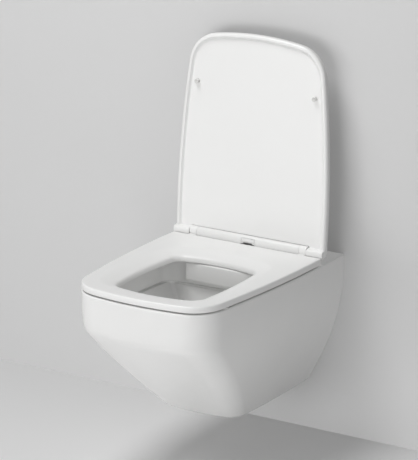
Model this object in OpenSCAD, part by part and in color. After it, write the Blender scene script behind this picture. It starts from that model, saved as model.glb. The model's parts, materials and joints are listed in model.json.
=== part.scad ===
// Wall hung toilet with a soft-closing seat and lid, in millimetres.
// X runs to the right, +Y into the wall and Z up.
// The origin lies on the wall, halfway between the two wall bolts.

/* [Outline] */
// Greatest width of bowl, seat and lid
plan_w = 365; // [345:1:390]
// Distance from the wall to the front edge
plan_l = 518; // [500:1:550]
// Distance from the wall to the widest place
widest_y = 146; // [110:1:180]
// Radius of the slightly bowed sides
side_r = 2460; // [1900:10:3200]
// Radius of the bowed front edge
front_r = 655; // [520:5:900]
// Radius of the two front corners
corner_r = 72; // [60:1:85]

/* [Bowl] */
// Height of the bowl's top above the wall bolts
top_z = 80; // [74:1:86]
// Height of the whole bowl
bowl_h = 295; // [288:1:310]
// Height of the upright band round the top
band_h = 76; // [60:1:90]
// Height of the straight sides below the top
straight_h = 30; // [20:1:45]
// Width of the foot under the bowl
foot_w = 191; // [170:1:210]
// Distance from the wall to the foot's front
foot_l = 293; // [280:1:320]
// Radius of the foot's front corners
foot_r = 38; // [30:1:50]
// Wall thickness of the ceramic
wall = 11; // [9:0.5:13]
// Thickness of the deck behind the basin
deck_t = 12; // [10:0.5:14]
// Width of the flange that stands against the wall
flange_w = 24; // [18:1:30]
// Thickness of that flange
flange_t = 12; // [8:1:16]
// Rounding of the top edge
edge_r = 3.5; // [2:0.5:5]

/* [Basin] */
// Width of the basin below its rounded mouth
basin_w = 282; // [270:1:290]
// Distance from the wall to the basin's back
basin_back = 185; // [180:1:190]
// Width of the rim at the front
rim_w = 48; // [42:1:56]
// Drop from the top to the ledge round the basin
ledge_drop = 56; // [48:1:64]
// Step inwards at the ledge
ledge_in = 8; // [5:0.5:11]
// Half the width of the sump
sump_r = 28; // [26:0.5:31]
// Distance from the wall to the middle of the sump
sump_y = 260; // [255:1:265]
// Height of the trap's lowest bend above the bottom of the bowl
sump_rise = 39; // [37:0.5:42]
// Squareness of the basin's outline
basin_n = 4.5; // [4:0.1:6]
// Thickness of the basin's wall
basin_t = 10; // [8:0.5:12]

/* [Waterways] */
// Radius of the flush inlet's bore
inlet_r = 27.5; // [26:0.5:29]
// Height of the flush inlet above the wall bolts
inlet_z = 35; // [33:0.5:37]
// Depth of the flush inlet's bore
inlet_l = 45; // [35:1:55]
// Radius of the flush channel behind the basin
channel_r = 16; // [14:0.5:17]
// Rise of the flush channel towards the basin
channel_rise = 19; // [15:0.5:21]
// Radius of the outlet spigot
spigot_r = 51; // [50:0.5:52]
// Bore radius of the outlet
outlet_r = 43; // [41:0.5:44]
// Length of the outlet spigot
spigot_l = 66; // [64:1:70]
// Drop from the wall bolts to the outlet's middle
outlet_drop = 100; // [97:1:103]
// Radius of the trap's passage
trap_r = 26.5; // [25:0.5:28]
// Drop from the wall bolts to the standing water
water_drop = 98; // [95:1:101]
// Distance from the wall to the trap's weir
weir_y = 125; // [122:1:128]
// Wall thickness of the waterways
trap_t = 8; // [7:0.5:9]
// Width of the flush distributor in the basin
distributor_w = 168; // [140:1:172]
// Height of the flush distributor
distributor_h = 36; // [34:0.5:38]
// Height of its lower edge above the wall bolts
distributor_z = 38; // [36:0.5:40]
// Depth of the flush distributor
distributor_d = 12; // [10:0.5:14]
// Gap between the flush distributor and the basin's back
distributor_gap = 4.6; // [4.4:0.1:5]

/* [Wall fixing] */
// Distance between the two wall bolts
bolt_gap = 180; // [180:1:184]
// Radius of the brackets' bolt holes
bolt_hole_r = 6.5; // [6:0.1:7]
// Side of the brackets' wall plates
plate_w = 44; // [40:1:50]
// Thickness of the brackets' plates
plate_t = 6; // [5:0.5:8]
// Radius of the clamp sleeves
sleeve_r = 7; // [6.5:0.1:7.5]
// Height of the brackets' bosses
boss_h = 24; // [20:1:28]
// Height of the bosses' foot above the wall bolts
boss_z = 14; // [13:0.5:18]
// Radius of the two holes in the deck
deck_hole_r = 9.5; // [9:0.1:10.5]

/* [Hinge] */
// Distance from the wall to the hinge axis
hinge_back = 84.5; // [82:0.5:86]
// Height of the hinge axis above the bowl's top
hinge_rise = 22.5; // [22:0.5:25]
// Distance between the two hinge screws
screw_gap = 155; // [153:1:158]
// Distance between the two posts under the bar
post_gap = 120; // [118:1:122]
// Radius of the posts
post_r = 6; // [5.5:0.1:6.2]
// Depth of the groove round each post
groove_d = 1.5; // [1.2:0.1:1.8]
// Radius of the hinge screws
screw_r = 3; // [2.5:0.1:3.2]
// Length of the hinge bar
bar_w = 250; // [246:1:254]
// Width of the seat's knuckles
knuckle_w = 16.5; // [14:0.5:18]
// Radius of the hinge bar and its knuckles
bar_r = 10; // [9.7:0.1:10.1]
// Depth of the hinge bar below its axis
bar_drop = 15; // [14:0.5:16]
// Wall thickness of the hinge bar
bar_wall = 2; // [1.6:0.1:2.2]
// Radius of the damper bodies
damper_r = 7; // [6.5:0.1:7.4]
// Gap between the hinge posts and the damper bodies
damper_gap = 2.8; // [2.5:0.1:4]
// Radius of the damper shafts
shaft_r = 4; // [3.5:0.1:4.2]
// Wall thickness of the plastic bushes
bush_t = 2; // [1.6:0.1:2.4]

/* [Release] */
// Width of the release button
button_w = 31; // [30:0.5:34]
// Height of the release button
button_h = 11; // [10:0.2:12]
// Distance from the middle to the button's middle
button_x = 1.5; // [0:0.5:3]
// Height of the finger slot under the button
slot_h = 3.6; // [3:0.1:4]
// Travel of the release button
button_travel = 3; // [2.5:0.1:3.2]
// Thickness of the latches
latch_t = 2.8; // [2.4:0.1:3]
// Radius of the latches' pins
pin_r = 1.5; // [1.2:0.1:1.6]

/* [Seat] */
// Gap between the bowl and the seat
seat_lift = 3; // [2.5:0.5:4]
// Thickness of the seat
seat_t = 13.8; // [12.5:0.1:14]
// Inset of the seat's outline from the bowl's
seat_in = 0.8; // [0.5:0.1:2]
// Width of the seat's opening
opening_w = 225; // [215:1:235]
// Distance from the wall to the opening's back
opening_back = 216; // [212:1:222]
// Distance from the wall to the opening's front
opening_front = 465; // [458:1:468]
// Width of the soft edge round the opening
roll_w = 20; // [15:1:24]
// Radius of the rubber buffers under the seat
seat_buffer_r = 8; // [6:0.5:9]

/* [Lid] */
// Thickness of the lid at its edge
lid_t = 13.8; // [13:0.1:14.4]
// Height of the lid's rim below its inner face
lid_lip = 5; // [4:0.5:6]
// How far the lid opens past the closed position, in degrees
lid_open = 94.2; // [92:0.1:96]
// Gap between the closed lid and the seat
lid_gap = 2.2; // [2:0.1:2.6]
// Radius of the lid's buffers
lid_buffer_r = 5; // [4:0.5:6]
// Distance between the lid's two buffers
lid_buffer_gap = 284; // [280:1:290]
// Distance from the hinge axis to the lid's buffers
lid_buffer_y = 319; // [300:1:330]

/* [Clearances] */
// Radial running clearance of the damper shafts
run_gap = 0.05; // [0.03:0.01:0.08]
// Radial clearance of pieces that are pushed together
seat_gap = 0.02; // [0.02:0.01:0.05]
// Gap round the button
button_gap = 0.6; // [0.4:0.1:0.8]
// Gap between the bar and the knuckles beside it
side_gap = 0.5; // [0.4:0.1:0.8]
// Gap between the knuckles of the seat and the lid
knuckle_gap = 2.8; // [2:0.1:4]
// Gap between the hinge bar and the seat's back edge
bar_gap = 1.3; // [1.1:0.1:1.6]
// Gap round the sliding latches
latch_gap = 0.1; // [0.08:0.01:0.2]
// Gap round the pins in their cam slots
cam_gap = 0.3; // [0.3:0.05:0.4]

/* [Hidden] */
$fn = 64;

ceramic = "#f3f3f1";
plastic = "#eeeeec";
rubber = "#d9d9d6";
steel = "#b9bcc0";
nylon = "#9fa3a6";

bottom_z = top_z - bowl_h;
crease_z = top_z - band_h;
hinge_y = -hinge_back;
hinge_z = top_z + hinge_rise;
ledge_z = top_z - ledge_drop;
sump_z = bottom_z + sump_rise;
crease_step = 4;
taper_power = 1.85;
basin_power = 1.2;
basin_front = plan_l - rim_w;

// Points along a circle about c, from angle a0 to a1.
function arc(c, r, a0, a1, n) = [for (i = [0:n]) let (a = a0 + (a1 - a0) * i / n) c + r * [cos(a), sin(a)]];

// The point at distance r1 from c1 and r2 from c2, on the front side.
function meet(c1, r1, c2, r2) =
    let (v = c2 - c1, d = norm(v), u = v / d, a = (r1 * r1 - r2 * r2 + d * d) / (2 * d))
    c1 + a * u + sqrt(r1 * r1 - a * a) * [u[1], -u[0]];

function direction(v) = atan2(v[1], v[0]);

// Right half of an outline, from its back edge to the middle of its front.
// half_w and length give its size, r its front corner, inset draws it in all round.
function half_plan(half_w, length, r, inset, back) =
    let (bow = front_r * half_w / (plan_w / 2),
        cs = [half_w - side_r, -widest_y],
        cf = [0, bow - length],
        cc = meet(cs, side_r - r, cf, bow - r),
        a_side = direction(cc - cs),
        a_front = direction(cc - cf),
        side = arc(cs, side_r - inset, asin((back + widest_y) / (side_r - inset)), a_side, 5),
        corner = arc(cc, r - inset, a_side, a_front, 9),
        front = arc(cf, bow - inset, a_front, -90, 4))
    concat(side, [for (i = [1:9]) corner[i]], [for (i = [1:4]) front[i]]);

function flip(half) = [for (p = half) [-p[0], p[1]]];

function backwards(half) = [for (i = [len(half) - 2:-1:0]) half[i]];

// Whole outline, from its back left corner round the front to its back right corner.
function plan(half_w, length, r, inset, back) =
    let (half = half_plan(half_w, length, r, inset, back)) concat(flip(half), backwards(half));

function at_height(loop, z) = [for (p = loop) [p[0], p[1], z]];

function mix(a, b, t) = a + (b - a) * t;

// Half width, front distance and corner radius of the bowl at a height.
function taper(z) = z > top_z - straight_h ? 0 : pow((top_z - straight_h - z) / (bowl_h - straight_h), taper_power);
function under(z) = z > crease_z - crease_step ? 0 : (crease_z - crease_step - z) / (crease_z - crease_step - bottom_z);
function bowl_half(z) = mix(plan_w / 2, foot_w / 2, taper(z));
function bowl_front(z) = mix(plan_l, foot_l, under(z));
function bowl_corner(z) = mix(corner_r, foot_r, under(z));

function bowl_loop(z, inset, back) =
    at_height(plan(bowl_half(z), bowl_front(z), bowl_corner(z), inset, back), z);

// Rounded box outline: half width a, from y = -front to y = -back, squareness n.
function oval(a, back, front, n, count) =
    let (b = (front - back) / 2, cy = -(front + back) / 2)
    [for (i = [0:count - 1]) let (t = 360 * i / count, c = cos(t), s = sin(t),
        k = pow(pow(abs(c), n) + pow(abs(s), n), -1 / n)) [a * k * c, cy + b * k * s]];

// Solid through a stack of loops that turn anticlockwise seen from above.
module loft(loops) {
    n = len(loops[0]);
    m = len(loops);
    sides = [for (i = [0:m - 2], k = [0:n - 1]) let (j = (k + 1) % n)
        each [[i * n + k, (i + 1) * n + k, (i + 1) * n + j], [i * n + k, (i + 1) * n + j, i * n + j]]];
    first = [for (k = [0:n - 1]) k];
    last = [for (k = [n - 1:-1:0]) (m - 1) * n + k];
    polyhedron(points = [for (loop = loops) each loop], faces = concat([first], sides, [last]));
}

// Ring-shaped solid through a closed row of loops.
module ring_loft(loops) {
    n = len(loops[0]);
    m = len(loops);
    sides = [for (i = [0:m - 1], k = [0:n - 1]) let (j = (k + 1) % n, h = (i + 1) % m)
        each [[i * n + k, h * n + k, h * n + j], [i * n + k, h * n + j, i * n + j]]];
    polyhedron(points = [for (loop = loops) each loop], faces = sides);
}

// Tube of circles about stations [y, z, radius] that lie in the middle plane.
function tube_loops(path, grow, count) = [for (i = [0:len(path) - 1])
    let (a = path[max(i - 1, 0)], b = path[min(i + 1, len(path) - 1)], p = path[i],
        t = [b[0] - a[0], b[1] - a[1]] / norm([b[0] - a[0], b[1] - a[1]]), r = p[2] + grow)
    [for (k = [0:count - 1]) let (c = 360 * k / count)
        [r * cos(c), p[0] + r * sin(c) * t[1], p[1] - r * sin(c) * t[0]]]];

// Extrudes an outline drawn in Y and Z from the hinge axis, between two places along X.
module along_x(x0, x1) {
    translate([x0, hinge_y, hinge_z]) rotate([90, 0, 90]) linear_extrude(x1 - x0) children();
}

// Round bar on the hinge axis.
module axle(x0, x1, r) {
    translate([x0, hinge_y, hinge_z]) rotate([0, 90, 0]) cylinder(h = x1 - x0, r = r);
}

module pair() {
    children();
    mirror([1, 0, 0]) children();
}

// Bowl

foot_edge = 5;
under_steps = 9;

// Height at a share of the sloping underside, from the foot, at 0, to the band, at 1.
function slope_z(share) = mix(bottom_z, crease_z - crease_step, share);

body_heights = concat([bottom_z + foot_edge], [for (i = [1:under_steps]) slope_z(i / under_steps)],
    [crease_z, top_z - straight_h, top_z - edge_r]);

module bowl_outside() {
    loft(concat([bowl_loop(bottom_z, foot_edge, 0)], [for (z = body_heights) bowl_loop(z, 0, 0)],
        [bowl_loop(top_z - edge_r * 0.3, edge_r * 0.3, 0), bowl_loop(top_z, edge_r, 0)]));
}

// Hollow between the outer wall, the deck and the foot, open towards the wall.
module bowl_hollow() {
    slope_in = wall * 1.35;
    loft(concat([for (z = [bottom_z + wall, slope_z(0.2), slope_z(0.5), slope_z(0.75), slope_z(1)])
        bowl_loop(z, slope_in, 1)],
        [for (z = [crease_z + wall, top_z - deck_t]) bowl_loop(z, wall, 1)]));
}

module wall_flange() {
    intersection() {
        bowl_outside();
        translate([-plan_w, -flange_t, bottom_z - 1]) cube([2 * plan_w, flange_t, bowl_h + 2]);
    }
}

module flange_opening() {
    loft([for (z = [bottom_z + flange_w, slope_z(0.28), slope_z(0.56), crease_z, top_z - deck_t - 2])
        let (x = bowl_half(z) - flange_w) [[-x, -flange_t - 1, z], [x, -flange_t - 1, z], [x, 1, z], [-x, 1, z]]]);
}

function basin_loop(t, grow, count) =
    let (k = pow(1 - t, basin_power), a = mix(sump_r, basin_w / 2 - ledge_in - 4, k),
        back = mix(sump_y - sump_r, basin_back + 1, k), front = mix(sump_y + sump_r, basin_front - 15, k),
        n = mix(2.2, basin_n, k))
    at_height(oval(a + grow, back - grow, front + grow, n, count), mix(ledge_z - 5, sump_z, t));

function upper_loop(z, out, count) =
    at_height(oval(basin_w / 2 + out, basin_back - max(out, 0), basin_front + out, basin_n, count), z);

// The space that the water fills, or with grow the outside of the basin's wall.
module basin(grow) {
    count = 40;
    drop = grow * 0.9;
    steps = [1, 0.82, 0.64, 0.46, 0.3, 0.14, 0];
    floor = grow > 0 ? [] : [at_height(oval(sump_r * 0.55, sump_y - sump_r * 0.55, sump_y + sump_r * 0.55, 2, count),
        sump_z - 12)];
    loft(concat(floor,
        [for (t = steps) [for (p = basin_loop(t, grow, count)) p - [0, 0, drop]]],
        [for (p = [upper_loop(ledge_z, grow - ledge_in + 4, count)]) [for (q = p) q - [0, 0, drop]]],
        [upper_loop(top_z - 10, grow, count)],
        grow > 0 ? [upper_loop(top_z - 1, grow, count)]
            : [upper_loop(top_z - 4, 0.8, count), upper_loop(top_z - 1, 3, count), upper_loop(top_z + 1, 6, count)]));
}

weir_z = trap_r - water_drop;

// Height at a share of the rise from the trap's lowest bend, at 0, to its weir, at 1.
function rise_z(share) = mix(sump_z, weir_z, share);

// Height at a share of the fall from the weir, at 0, to the outlet, at 1.
function fall_z(share) = mix(weir_z, -outlet_drop, share);

// The trap's middle line and radius: down into the bend, up to the weir and down to the outlet.
end_r = outlet_r - 2.5;
trap_path = [[-sump_y - 22, rise_z(0.05), trap_r - 18], [-sump_y - 17, rise_z(0.03), trap_r - 8],
    [-sump_y - 8, rise_z(0.01), trap_r - 2], [-sump_y + 10, rise_z(0), trap_r], [-sump_y + 32, rise_z(0), trap_r],
    [-sump_y + 52, rise_z(0.08), trap_r], [-weir_y - 65, rise_z(0.25), trap_r], [-weir_y - 49, rise_z(0.48), trap_r],
    [-weir_y - 33, rise_z(0.72), trap_r], [-weir_y - 18, rise_z(0.9), trap_r], [-weir_y, rise_z(1), trap_r],
    [-weir_y + 19, fall_z(0.04), trap_r + 3], [-spigot_l - 24, fall_z(0.4), mix(trap_r, end_r, 0.5)],
    [-spigot_l - 12, fall_z(0.78), mix(trap_r, end_r, 0.82)], [-spigot_l, fall_z(0.95), end_r],
    [-spigot_l + 14, fall_z(0.98), end_r], [-spigot_l + 36, fall_z(0.98), end_r]];

// Flush channel that climbs from the inlet to the basin, with its ends moved by start and past.
module channel(r, start, past) {
    run = basin_back - inlet_l;
    climb = atan(channel_rise / run);
    translate([0, -inlet_l, inlet_z]) rotate([90 - climb, 0, 0]) translate([0, 0, -start])
        cylinder(h = norm([run, channel_rise]) + start + past, r = r);
}

module casting() {
    difference() {
        union() {
            difference() {
                bowl_outside();
                bowl_hollow();
            }
            difference() {
                wall_flange();
                flange_opening();
            }
            intersection() {
                bowl_outside();
                union() {
                    basin(basin_t);
                    loft(tube_loops(trap_path, trap_t, 28));
                }
            }
            intersection() {
                bowl_outside();
                channel(channel_r + trap_t, 0, 2, $fn = 28);
            }
        }
        basin(0);
        loft(tube_loops(trap_path, 0, 28));
    }
}

module bowl() {
    color(ceramic) difference() {
        union() {
            resize([plan_w, 0, 0]) casting();
            translate([0, -inlet_l - trap_t, inlet_z]) rotate([-90, 0, 0])
                cylinder(h = inlet_l + trap_t, r = inlet_r + trap_t);
            translate([0, -spigot_l, -outlet_drop]) rotate([-90, 0, 0]) cylinder(h = spigot_l, r = spigot_r);
        }
        translate([0, -inlet_l, inlet_z]) rotate([-90, 0, 0]) cylinder(h = inlet_l + 1, r = inlet_r);
        channel(channel_r, 6, 10);
        translate([0, 8 - spigot_l, -outlet_drop]) rotate([-90, 0, 0]) cylinder(h = spigot_l, r = outlet_r);
        pair() translate([screw_gap / 2, hinge_y, top_z - deck_t - 1]) cylinder(h = deck_t + 2, r = deck_hole_r);
    }
}

// Flush distributor: a hollow box with a plug in the channel and an outlet at each end.
module flush_distributor() {
    back_y = -basin_back - distributor_gap;
    shell = 2.5;
    plug = 14;
    color(plastic) difference() {
        union() {
            translate([-distributor_w / 2, back_y - distributor_d, distributor_z])
                cube([distributor_w, distributor_d, distributor_h]);
            intersection() {
                channel(channel_r - 0.3, 0, 12);
                translate([-channel_r, back_y - distributor_d / 2, distributor_z - plug])
                    cube([2 * channel_r, distributor_d / 2 + plug, distributor_h + 2 * plug]);
            }
        }
        intersection() {
            channel(channel_r - shell, 0, 10);
            translate([-channel_r, back_y - distributor_d / 2, distributor_z])
                cube([2 * channel_r, basin_back, distributor_h + plug]);
        }
        translate([-distributor_w / 2 - 1, back_y - distributor_d + shell, distributor_z + shell])
            cube([distributor_w + 2, distributor_d - 2 * shell, distributor_h - 2 * shell]);
    }
}

// Wall fixing

arm_w = 20;

module wall_bracket() {
    bolt_x = bolt_gap / 2;
    boss_x = screw_gap / 2;
    difference() {
        union() {
            translate([bolt_x - plate_w / 2, -plate_t, -plate_w / 2]) cube([plate_w, plate_t, plate_w]);
            translate([boss_x - arm_w / 2, hinge_y, boss_z]) cube([arm_w, hinge_back, plate_t]);
            translate([boss_x, hinge_y, boss_z]) cylinder(h = boss_h, r = arm_w / 2);
            translate([boss_x - arm_w / 2, 0, 0]) rotate([90, 0, 90]) linear_extrude(plate_t)
                polygon([[-plate_t, 4 - plate_w / 2], [-plate_t, boss_z], [hinge_y + arm_w / 2, boss_z],
                    [hinge_y + arm_w / 2, boss_z - 6]]);
        }
        translate([bolt_x, -plate_t - 30, 0]) rotate([-90, 0, 0]) cylinder(h = plate_t + 31, r = bolt_hole_r);
        translate([boss_x, hinge_y, boss_z + plate_t]) cylinder(h = boss_h, r = sleeve_r + seat_gap);
        translate([boss_x, hinge_y, boss_z - 1]) cylinder(h = plate_t + 2, r = screw_r + 1);
    }
}

module wall_bracket_left() { color(steel) mirror([1, 0, 0]) wall_bracket(); }
module wall_bracket_right() { color(steel) wall_bracket(); }

module clamp_sleeves() {
    low = boss_z + plate_t;
    color(steel) pair() translate([screw_gap / 2, hinge_y, low]) difference() {
        cylinder(h = top_z - 0.5 - low, r = sleeve_r);
        translate([0, 0, -1]) cylinder(h = top_z - low + 2, r = screw_r + run_gap);
    }
}

module deck_bushes() {
    color(nylon) pair() translate([screw_gap / 2, hinge_y, top_z - deck_t]) difference() {
        union() {
            cylinder(h = deck_t, r = deck_hole_r - run_gap);
            translate([0, 0, -2]) cylinder(h = 2, r = deck_hole_r + 3);
        }
        translate([0, 0, -3]) cylinder(h = deck_t + 4, r = sleeve_r + run_gap);
    }
}

// Hinge bases and their screws

gasket_t = 1.5;
base_t = 3.5;
base_r = 16;
base_gap = 0.8;
base_z = top_z + gasket_t;
collar_z = hinge_z - bar_drop;
latch_z = hinge_z - 6;
groove_h = latch_t + 2 * latch_gap;
post_top = hinge_z + 2;

// Round plate with a lobe for the post, cut straight behind the seat's back edge.
module base_outline() {
    difference() {
        union() {
            circle(r = base_r);
            translate([(post_gap - screw_gap) / 2, 0]) circle(r = post_r + 4);
        }
        translate([-2 * base_r, -2 * base_r - bar_r - bar_gap + base_gap]) square([4 * base_r, 2 * base_r]);
    }
}

module hinge_gaskets() {
    color(rubber) pair() translate([screw_gap / 2, hinge_y, top_z]) linear_extrude(gasket_t) difference() {
        base_outline();
        circle(r = screw_r + 1.2);
    }
}

module hinge_base() {
    difference() {
        union() {
            translate([screw_gap / 2, hinge_y, base_z]) linear_extrude(base_t) base_outline();
            translate([post_gap / 2, hinge_y, base_z]) cylinder(h = collar_z - base_z, r = post_r + 2);
            translate([post_gap / 2, hinge_y, base_z]) rotate_extrude() polygon([[0, 0], [post_r, 0],
                [post_r, latch_z - base_z], [post_r - groove_d, latch_z - base_z],
                [post_r - groove_d, latch_z + groove_h - base_z], [post_r, latch_z + groove_h - base_z],
                [post_r, post_top - 2 - base_z], [post_r - 2, post_top - base_z], [0, post_top - base_z]]);
        }
        translate([screw_gap / 2, hinge_y, base_z - 1]) cylinder(h = base_t + 2, r = screw_r + 0.3);
        translate([screw_gap / 2, hinge_y, base_z + 0.2])
            cylinder(h = base_t, r1 = screw_r + 0.3, r2 = screw_r + 0.3 + base_t);
    }
}

module hinge_base_left() { color(plastic) mirror([1, 0, 0]) hinge_base(); }
module hinge_base_right() { color(plastic) hinge_base(); }

module hinge_screws() {
    head_h = base_t - 0.4;
    length = base_z + base_t - (boss_z + plate_t) - 4;
    color(steel) pair() translate([screw_gap / 2, hinge_y, base_z + base_t - length - 0.2]) difference() {
        union() {
            cylinder(h = length, r = screw_r);
            translate([0, 0, length - head_h]) cylinder(h = head_h, r1 = screw_r, r2 = screw_r + head_h);
        }
        translate([0, 0, length - 2]) linear_extrude(3) square([2 * screw_r, 1.2], center = true);
    }
}

// Hinge bar

rib_t = 2;
damper_x = bar_w / 2 - bar_wall - 0.2;
damper_l = damper_x - post_gap / 2 - post_r - damper_gap;
rib_x = damper_x - damper_l - rib_t;

module bar_profile(r, drop) {
    circle(r = r);
    translate([-r, -drop]) square([2 * r, drop]);
}

module button_window(gap, below) {
    translate([button_x - button_w / 2 - gap, hinge_y - bar_r - 1, hinge_z - button_h / 2 - below])
        cube([button_w + 2 * gap, bar_r, button_h + gap + below]);
}

module hinge_bar() {
    inner = bar_r - bar_wall;
    end = bar_w / 2;
    color(plastic) difference() {
        along_x(-end, end) bar_profile(bar_r, bar_drop);
        along_x(-rib_x, rib_x) bar_profile(inner, bar_drop + 1);
        pair() along_x(rib_x + rib_t, end - bar_wall) bar_profile(inner, bar_drop + 1);
        pair() along_x(rib_x - 1, rib_x + rib_t + 1) translate([-inner, -bar_drop - 1]) square([2 * inner, 3.2]);
        axle(-end - 1, end + 1, shaft_r + 0.4);
        intersection() {
            button_window(button_gap, slot_h);
            translate([-end, hinge_y - bar_r - 1, hinge_z - bar_drop + bar_wall + 0.5])
                cube([2 * end, bar_r + bar_wall / 2, 2 * bar_drop]);
        }
    }
}

// Plate that closes the bar from below, with cradles for the dampers and guides for the latches.
module hinge_bar_base() {
    inner = bar_r - bar_wall - 0.1;
    plate = 2;
    floor_z = collar_z;
    reach = bar_w / 2 - bar_wall - 0.1;
    cradle_w = 4;
    color(plastic) difference() {
        union() {
            translate([-reach, hinge_y - inner, floor_z]) cube([2 * reach, 2 * inner, plate]);
            pair() for (k = [0.2, 0.8])
                translate([damper_x - damper_l * k - cradle_w / 2, hinge_y - 6, floor_z])
                    cube([cradle_w, 12, bar_drop - damper_r + 2]);
            pair() for (x = [22, 36]) translate([x, hinge_y - 5.8, floor_z])
                cube([6, 11.6, latch_z + latch_t - floor_z]);
        }
        pair() translate([post_gap / 2, hinge_y, floor_z - 1]) cylinder(h = plate + 2, r = post_r + 0.1);
        pair() axle(damper_x - damper_l - 1, damper_x + 1, damper_r + seat_gap);
        pair() translate([20, hinge_y - latch_w / 2 - latch_gap, latch_z])
            cube([24, latch_w + 2 * latch_gap, latch_t + 2]);
    }
}

// Release mechanism

latch_w = 8;
cam_x = button_w / 2 - 4.5;
cam_y = -1;
face_t = 2.6;
tail_back = 2.4;
tail_t = 2;
tail_z = hinge_z - 2;

module cam_slot(side) {
    r = pin_r + cam_gap;
    a = [side * cam_x, cam_y];
    b = a - [side * button_travel, button_travel];
    translate(a) circle(r = r);
    translate(b) circle(r = r);
    translate((a + b) / 2) rotate(side * 45) square([button_travel * sqrt(2), 2 * r], center = true);
}

module release_button() {
    color(plastic) union() {
        intersection() {
            along_x(button_x - button_w / 2, button_x + button_w / 2) bar_profile(bar_r, bar_drop);
            translate([button_x - button_w / 2, hinge_y - bar_r - 1, hinge_z - button_h / 2])
                cube([button_w, face_t + 1, button_h]);
        }
        translate([button_x, hinge_y, tail_z]) linear_extrude(tail_t) difference() {
            translate([1.5 - button_w / 2, face_t - bar_r - 0.5])
                square([button_w - 3, bar_r + tail_back - face_t + 0.5]);
            cam_slot(1);
            cam_slot(-1);
        }
    }
}

// Helical return spring between the button's tail and the back of the bar.
spring_turns = 5;
spring_r = 2;
wire_r = 0.35;
spring_gap = 0.05;

module button_spring() {
    y0 = hinge_y + tail_back + wire_r + spring_gap;
    y1 = hinge_y + bar_r - bar_wall - wire_r - spring_gap;
    steps = spring_turns * 8;
    pitch = (y1 - y0) / steps;
    z = tail_z + tail_t / 2;
    color(steel) loft([for (i = [0:steps]) let (a = 45 * i, c = [button_x + spring_r * cos(a), y0 + pitch * i,
        z - spring_r * sin(a)]) [for (k = [0:5]) c + wire_r * (cos(60 * k) * [cos(a), 0, -sin(a)]
        + sin(60 * k) * [0, -1, 0])]]);
}

// Sliding latch: its tip reaches under the post's head and its pin stands in a cam slot.
module latch(side) {
    inner = side * cam_x + button_x - side * 3;
    tip = side * (post_gap / 2 - 2.2);
    low = min(inner, tip);
    difference() {
        union() {
            translate([low, hinge_y - latch_w / 2, latch_z + latch_gap])
                cube([abs(tip - inner), latch_w, latch_t]);
            translate([button_x + side * cam_x, hinge_y + cam_y, latch_z + latch_gap])
                cylinder(h = tail_z + tail_t + 0.6 - latch_z - latch_gap, r = pin_r);
        }
        translate([side * post_gap / 2, hinge_y, latch_z - 1])
            cylinder(h = latch_t + 3, r = post_r - groove_d + latch_gap);
    }
}

module latch_left() { color(nylon) latch(-1); }
module latch_right() { color(nylon) latch(1); }

// Dampers: a body in the bar and a shaft that turns with the seat or the lid.

knuckle_x0 = bar_w / 2 + side_gap;
knuckle_x1 = knuckle_x0 + knuckle_w;
lid_knuckle_x = knuckle_x1 + knuckle_gap;
shaft_in = 24;
shaft_end = plan_w / 2 - 11;
key_flat = 0.8;

module damper_body() {
    difference() {
        axle(damper_x - damper_l, damper_x, damper_r);
        axle(damper_x - shaft_in - 1, damper_x + 1, shaft_r + run_gap);
    }
}

// Shaft with a flat where it is keyed.
module damper_shaft(key0, key1) {
    difference() {
        axle(damper_x - shaft_in, shaft_end, shaft_r);
        translate([key0, hinge_y - shaft_r, hinge_z + shaft_r - key_flat])
            cube([key1 - key0, 2 * shaft_r, 2 * key_flat]);
    }
}

module keyed_bore(x0, x1) {
    difference() {
        axle(x0, x1, shaft_r + seat_gap);
        translate([x0 - 1, hinge_y - 2 * shaft_r, hinge_z + shaft_r - key_flat + seat_gap])
            cube([x1 - x0 + 2, 4 * shaft_r, 2 * key_flat]);
    }
}

module seat_damper_body() { color(nylon) mirror([1, 0, 0]) damper_body(); }
module lid_damper_body() { color(nylon) damper_body(); }

module seat_damper_shaft() { color(steel) mirror([1, 0, 0]) damper_shaft(knuckle_x0, knuckle_x1); }
module lid_damper_shaft() {
    color(steel) opened(lid_open) damper_shaft(lid_knuckle_x, shaft_end + 1);
}

module bush(x0, x1) {
    difference() {
        axle(x0, x1, shaft_r + run_gap + bush_t);
        axle(x0 - 1, x1 + 1, shaft_r + run_gap);
    }
}

bush_bore_r = shaft_r + run_gap + bush_t + seat_gap;

module ring_bush() { color(nylon) bush(knuckle_x0 + 0.2, knuckle_x1 - 0.2); }
module lid_bush() { color(nylon) mirror([1, 0, 0]) bush(lid_knuckle_x + 0.2, shaft_end); }

// Seat

seat_z = top_z + seat_lift;
seat_back = hinge_y - bar_r - bar_gap;
opening_n = 3.5;

// Point of the opening's outline in the direction of p, widened by grow.
function opening_point(p, grow) =
    let (cy = -(opening_front + opening_back) / 2, a = opening_w / 2 + grow,
        b = (opening_front - opening_back) / 2 + grow, v = p - [0, cy],
        k = pow(pow(abs(v[0]) / a, opening_n) + pow(abs(v[1]) / b, opening_n), -1 / opening_n))
    [0, cy] + k * v;

// Outline of the seat with extra points along its straight back edge.
function seat_plan(inset) =
    let (loop = plan(plan_w / 2, plan_l, corner_r, seat_in + inset, seat_back - inset),
        a = loop[len(loop) - 1], b = loop[0])
    concat(loop, [for (i = [1:9]) mix(a, b, i / 10)]);

// Loop of the top face between its outer edge, at 0, and the opening's soft edge, at 1.
function seat_between(t, z) = let (outer = seat_plan(5))
    [for (p = outer) let (q = opening_point(p, roll_w)) [mix(p[0], q[0], t), mix(p[1], q[1], t), z]];

function seat_edge(grow, z) = [for (p = seat_plan(5)) let (q = opening_point(p, grow)) [q[0], q[1], z]];

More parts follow.
